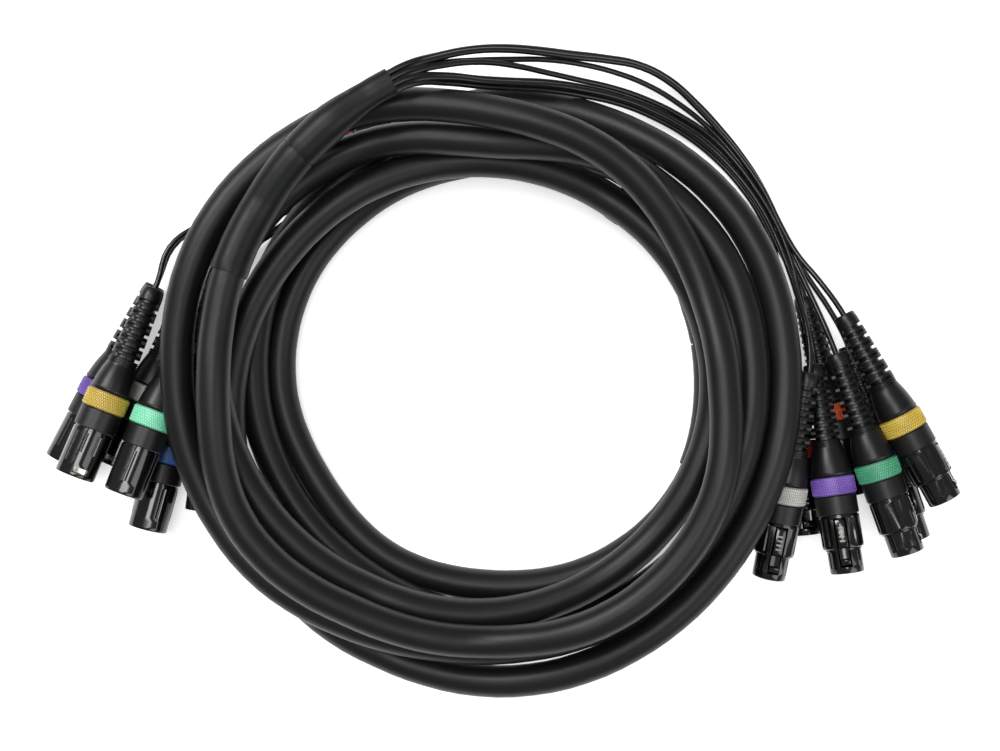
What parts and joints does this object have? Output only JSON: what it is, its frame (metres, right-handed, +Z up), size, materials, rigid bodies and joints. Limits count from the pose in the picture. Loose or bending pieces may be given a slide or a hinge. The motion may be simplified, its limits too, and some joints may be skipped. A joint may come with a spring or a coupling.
{
  "type": "multicore audio snake",
  "caption": "Coiled multicore audio loom with a fan of thin tails at each end, ending in male three-pin connectors at one end and latching female ones at the other.",
  "frame": {"origin": "middle of the coiled loom's outline, on the surface it lies on", "axes": "+Z up from the surface; -X towards the male connectors, +X towards the female ones; -Y towards the connectors' mating ends"},
  "size_m": [0.4432, 0.317, 0.0752],
  "materials": {
    "jacket": "matte flexible cable jacket",
    "sleeve": "satin shrunk sleeve",
    "tail": "satin thin jacket",
    "shell": "glossy black die-cast",
    "latch": "satin black metal",
    "boot": "matte black strain relief",
    "ring_red": "matt coloured plastic",
    "ring_orange": "matt coloured plastic",
    "ring_yellow": "matt coloured plastic",
    "ring_green": "matt coloured plastic",
    "ring_mint": "matt coloured plastic",
    "ring_blue": "matt coloured plastic",
    "ring_violet": "matt coloured plastic",
    "ring_grey": "matt coloured plastic"
  },
  "bodies": {
    "loom": {"main_cable": "jacket", "fan_sleeve_a": "sleeve", "cable_sleeve_a": "sleeve", "fan_sleeve_b": "sleeve", "cable_sleeve_b": "sleeve", "tails_a": "tail", "tails_b": "tail", "male_shell_yellow": "shell", "male_ring_yellow": "ring_yellow", "male_boot_yellow": "boot", "male_shell_green": "shell", "male_ring_green": "ring_mint", "male_boot_green": "boot", "male_shell_grey": "shell", "male_ring_grey": "ring_grey", "male_boot_grey": "boot", "male_shell_violet": "shell", "male_ring_violet": "ring_violet", "male_boot_violet": "boot", "male_shell_blue": "shell", "male_ring_blue": "ring_blue", "male_boot_blue": "boot", "male_shell_orange": "shell", "male_ring_orange": "ring_orange", "male_boot_orange": "boot", "male_shell_red": "shell", "male_ring_red": "ring_red", "male_boot_red": "boot", "female_shell_grey": "shell", "female_ring_grey": "ring_grey", "female_boot_grey": "boot", "female_shell_violet": "shell", "female_ring_violet": "ring_violet", "female_boot_violet": "boot", "female_shell_green": "shell", "female_ring_green": "ring_green", "female_boot_green": "boot", "female_shell_yellow": "shell", "female_ring_yellow": "ring_yellow", "female_boot_yellow": "boot", "female_shell_blue": "shell", "female_ring_blue": "ring_blue", "female_boot_blue": "boot", "female_shell_orange": "shell", "female_ring_orange": "ring_orange", "female_boot_orange": "boot", "female_shell_red": "shell", "female_ring_red": "ring_red", "female_boot_red": "boot"},
    "latch_grey": {"latch_grey": "latch"},
    "latch_violet": {"latch_violet": "latch"},
    "latch_green": {"latch_green": "latch"},
    "latch_yellow": {"latch_yellow": "latch"},
    "latch_blue": {"latch_blue": "latch"},
    "latch_orange": {"latch_orange": "latch"},
    "latch_red": {"latch_red": "latch"}
  },
  "joints": [
    {"name": "latch_grey_press", "type": "hinge", "parent": "loom", "child": "latch_grey", "pos_m": [0.13544, -0.07615, 0.03601], "axis": [0.9851, -0.1719, 0], "range_deg": [0, 3], "stiffness_Nm_per_rad": 0.3},
    {"name": "latch_violet_press", "type": "hinge", "parent": "loom", "child": "latch_violet", "pos_m": [0.1629, -0.07182, 0.0384], "axis": [0.9656, 0.1574, 0.2071], "range_deg": [0, 3], "stiffness_Nm_per_rad": 0.3},
    {"name": "latch_green_press", "type": "hinge", "parent": "loom", "child": "latch_green", "pos_m": [0.19432, -0.06138, 0.03644], "axis": [0.3436, 0.0525, -0.9376], "range_deg": [0, 3], "stiffness_Nm_per_rad": 0.3},
    {"name": "latch_yellow_press", "type": "hinge", "parent": "loom", "child": "latch_yellow", "pos_m": [0.20862, -0.03701, 0.03517], "axis": [0.4411, 0.1703, -0.8811], "range_deg": [0, 3], "stiffness_Nm_per_rad": 0.3},
    {"name": "latch_blue_press", "type": "hinge", "parent": "loom", "child": "latch_blue", "pos_m": [0.19323, -0.06126, 0.01643], "axis": [0.5959, 0.2461, 0.7644], "range_deg": [0, 3], "stiffness_Nm_per_rad": 0.3},
    {"name": "latch_orange_press", "type": "hinge", "parent": "loom", "child": "latch_orange", "pos_m": [0.17321, -0.03617, 0.01797], "axis": [0.8514, 0.1616, -0.4989], "range_deg": [0, 3], "stiffness_Nm_per_rad": 0.3},
    {"name": "latch_red_press", "type": "hinge", "parent": "loom", "child": "latch_red", "pos_m": [0.14993, -0.0558, 0.01889], "axis": [0.9943, 0.1063, 0], "range_deg": [0, 3], "stiffness_Nm_per_rad": 0.3}
  ]
}
